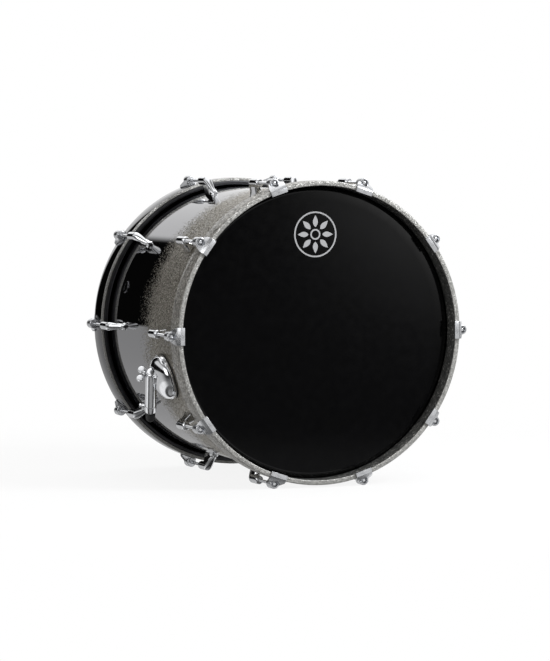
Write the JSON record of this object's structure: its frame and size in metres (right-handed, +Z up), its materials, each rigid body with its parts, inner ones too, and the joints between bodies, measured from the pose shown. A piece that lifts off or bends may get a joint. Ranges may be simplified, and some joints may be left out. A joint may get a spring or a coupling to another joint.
{
  "type": "bass drum",
  "caption": "Deep cylindrical bass drum with a mirror shell, sparkle hoops, black heads, chrome claws, rods and lugs, and folding telescopic spurs.",
  "frame": {"origin": "bottom centre of the drum lying on its four lowest claws, midway between the two hoops", "axes": "+Z up, the drum's axis along Y with the front (resonant) head facing -Y and the batter head facing +Y, +X to the right as seen from the front"},
  "size_m": [0.652, 0.5042, 0.5999],
  "materials": {
    "shell": "bare maple plies, satin",
    "shell_wrap": "smoked mirror laminate fading to silver sparkle at the front",
    "front_hoop": "silver sparkle under clear gloss",
    "rear_hoop": "smoked mirror outside, silver sparkle edge",
    "front_head": "gloss black film",
    "rear_head": "gloss black film",
    "flesh_hoop": "black anodised aluminium channel",
    "claw": "polished chrome",
    "lug": "polished chrome",
    "vent_grommet": "black nickel plating",
    "spur_metal": "polished chrome",
    "spur_foot": "matt rubber"
  },
  "bodies": {
    "drum": {"shell": "shell", "shell_wrap": "shell_wrap", "front_hoop": "front_hoop", "rear_hoop": "rear_hoop", "front_head": "front_head", "rear_head": "rear_head", "front_flesh_hoop": "flesh_hoop", "rear_flesh_hoop": "flesh_hoop", "vent_grommet": "vent_grommet", "front_claw_01": "claw", "front_claw_02": "claw", "front_claw_03": "claw", "front_claw_04": "claw", "front_claw_05": "claw", "front_claw_06": "claw", "front_claw_07": "claw", "front_claw_08": "claw", "front_claw_09": "claw", "front_claw_10": "claw", "rear_claw_01": "claw", "rear_claw_02": "claw", "rear_claw_03": "claw", "rear_claw_04": "claw", "rear_claw_05": "claw", "rear_claw_06": "claw", "rear_claw_07": "claw", "rear_claw_08": "claw", "rear_claw_09": "claw", "rear_claw_10": "claw", "front_lug_01": "lug", "front_lug_02": "lug", "front_lug_03": "lug", "front_lug_04": "lug", "front_lug_05": "lug", "front_lug_06": "lug", "front_lug_07": "lug", "front_lug_08": "lug", "front_lug_09": "lug", "front_lug_10": "lug", "rear_lug_01": "lug", "rear_lug_02": "lug", "rear_lug_03": "lug", "rear_lug_04": "lug", "rear_lug_05": "lug", "rear_lug_06": "lug", "rear_lug_07": "lug", "rear_lug_08": "lug", "rear_lug_09": "lug", "rear_lug_10": "lug", "left_spur_bracket": "spur_metal", "right_spur_bracket": "spur_metal"},
    "left_spur_leg": {"left_spur_leg_tube": "spur_metal"},
    "left_spur_inner": {"left_spur_inner_leg": "spur_metal", "left_spur_foot": "spur_foot"},
    "left_wing": {"left_spur_wing_screw": "spur_metal"},
    "right_spur_leg": {"right_spur_leg_tube": "spur_metal"},
    "right_spur_inner": {"right_spur_inner_leg": "spur_metal", "right_spur_foot": "spur_foot"},
    "right_wing": {"right_spur_wing_screw": "spur_metal"}
  },
  "joints": [
    {"name": "left_spur_fold", "type": "hinge", "parent": "drum", "child": "left_spur_leg", "pos_m": [-0.29049, -0.099, 0.21554], "axis": [-0.9071, 0.4052, 0.1137], "range_deg": [0, 80]},
    {"name": "left_spur_extend", "type": "slide", "parent": "left_spur_leg", "child": "left_spur_inner", "axis": [0.2532, 0.7413, -0.6215], "range_m": [0, 0.085]},
    {"name": "left_wing_turn", "type": "hinge", "parent": "drum", "child": "left_wing", "pos_m": [-0.29049, -0.099, 0.21554], "axis": [-0.9071, 0.4052, 0.1137], "range_deg": [0, 360]},
    {"name": "right_spur_fold", "type": "hinge", "parent": "drum", "child": "right_spur_leg", "pos_m": [0.29049, -0.099, 0.21554], "axis": [-0.9071, -0.4052, -0.1137], "range_deg": [0, 80]},
    {"name": "right_spur_extend", "type": "slide", "parent": "right_spur_leg", "child": "right_spur_inner", "axis": [-0.2532, 0.7413, -0.6215], "range_m": [0, 0.085]},
    {"name": "right_wing_turn", "type": "hinge", "parent": "drum", "child": "right_wing", "pos_m": [0.29049, -0.099, 0.21554], "axis": [0.9071, 0.4052, 0.1137], "range_deg": [0, 360]}
  ]
}
